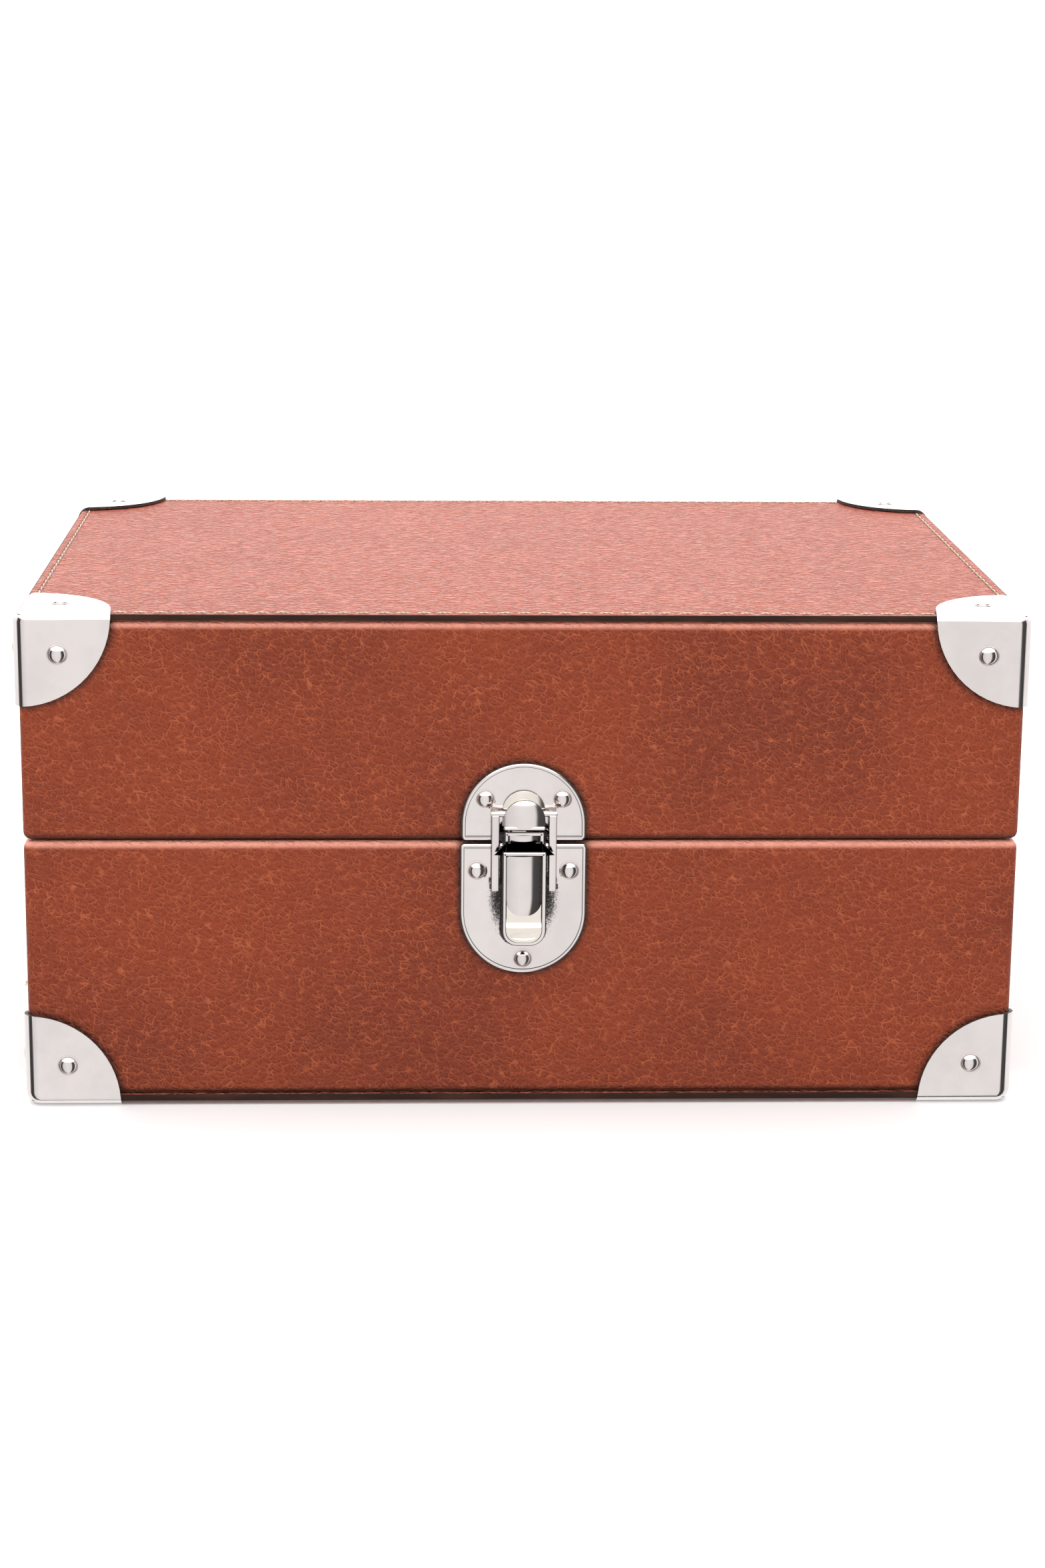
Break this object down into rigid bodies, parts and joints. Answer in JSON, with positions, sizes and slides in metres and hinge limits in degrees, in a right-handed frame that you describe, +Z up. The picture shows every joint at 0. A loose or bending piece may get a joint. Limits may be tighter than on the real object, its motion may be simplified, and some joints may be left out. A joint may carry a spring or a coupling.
{
  "type": "jewellery case",
  "caption": "Rectangular leather-covered jewellery case with a hinged lid, draw latch, metal corner protectors, lid mirror and a lift-out tray with ring rolls.",
  "frame": {"origin": "on the standing surface, under the middle of the whole case with its clasp and hinges", "axes": "+X along the width, the clasp and front face -Y, +Z up"},
  "size_m": [0.2952, 0.2299, 0.1502],
  "materials": {
    "leather": "pebbled cognac leather, semi-gloss",
    "painted_edge": "dark painted cut edge",
    "board": "bare board, hidden under the leather",
    "suede": "soft suede lining, matte",
    "nickel": "polished nickel plate",
    "mirror": "flat silvered glass"
  },
  "bodies": {
    "base": {"base_divider_left": "suede", "base_divider_right": "suede", "base_leather": "leather", "base_lining": "suede", "base_shell": "board", "bottom_panel": "painted_edge", "clasp_bracket": "nickel", "clasp_lower_plate": "nickel", "clasp_rivet_lower_left": "nickel", "clasp_rivet_lower_middle": "nickel", "clasp_rivet_lower_right": "nickel", "hinge_left_base_leaf": "nickel", "hinge_left_pin": "nickel", "hinge_right_base_leaf": "nickel", "hinge_right_pin": "nickel", "lever_pin": "nickel", "protector_base_front_left": "nickel", "protector_base_front_right": "nickel", "protector_base_rear_left": "nickel", "protector_base_rear_right": "nickel", "stay_stud": "nickel", "tray_ledge_front": "suede", "tray_ledge_rear": "suede"},
    "lid": {"clasp_hook": "nickel", "clasp_rivet_upper_left": "nickel", "clasp_rivet_upper_right": "nickel", "clasp_upper_plate": "nickel", "hinge_left_lid_leaf": "nickel", "hinge_right_lid_leaf": "nickel", "lid_leather": "leather", "lid_lining": "suede", "lid_shell": "board", "mirror": "mirror", "mirror_frame": "suede", "protector_lid_front_left": "nickel", "protector_lid_front_right": "nickel", "protector_lid_rear_left": "nickel", "protector_lid_rear_right": "nickel", "stay_pivot": "nickel", "top_panel": "leather"},
    "lever": {"clasp_lever": "nickel", "bail_pin": "nickel"},
    "bail": {"clasp_bail": "nickel"},
    "stay": {"stay_arm": "nickel"},
    "tray": {"ring_roll_1": "suede", "ring_roll_2": "suede", "ring_roll_3": "suede", "ring_roll_4": "suede", "ring_roll_5": "suede", "ring_roll_6": "suede", "ring_roll_7": "suede", "tray_divider_cross": "suede", "tray_divider_main": "suede", "tray_divider_rear": "suede", "tray_divider_ring": "suede", "tray_shell": "suede", "tray_tab_left": "leather", "tray_tab_right": "leather"}
  },
  "joints": [
    {"name": "lid_hinge", "type": "hinge", "parent": "base", "child": "lid", "pos_m": [0, 0.11225, 0.0808], "axis": [-1, 0, 0], "range_deg": [0, 100]},
    {"name": "lever_hinge", "type": "hinge", "parent": "base", "child": "lever", "pos_m": [0, -0.11055, 0.0806], "axis": [-1, 0, 0], "range_deg": [0, 78]},
    {"name": "bail_hinge", "type": "hinge", "parent": "lever", "child": "bail", "pos_m": [0, -0.11035, 0.0684], "axis": [-1, 0, 0], "range_deg": [-42.2, 0]},
    {"name": "stay_hinge", "type": "hinge", "parent": "lid", "child": "stay", "pos_m": [0.1356, 0.07466, 0.09448], "axis": [-1, 0, 0], "range_deg": [-50, 0]},
    {"name": "tray_lift", "type": "slide", "parent": "base", "child": "tray", "axis": [0, 0, 1], "range_m": [0, 0.054]}
  ],
  "couplings": [
    {"joint": "bail_hinge", "follows": "lever_hinge", "ratio": -0.54},
    {"joint": "stay_hinge", "follows": "lid_hinge", "ratio": -0.5}
  ]
}
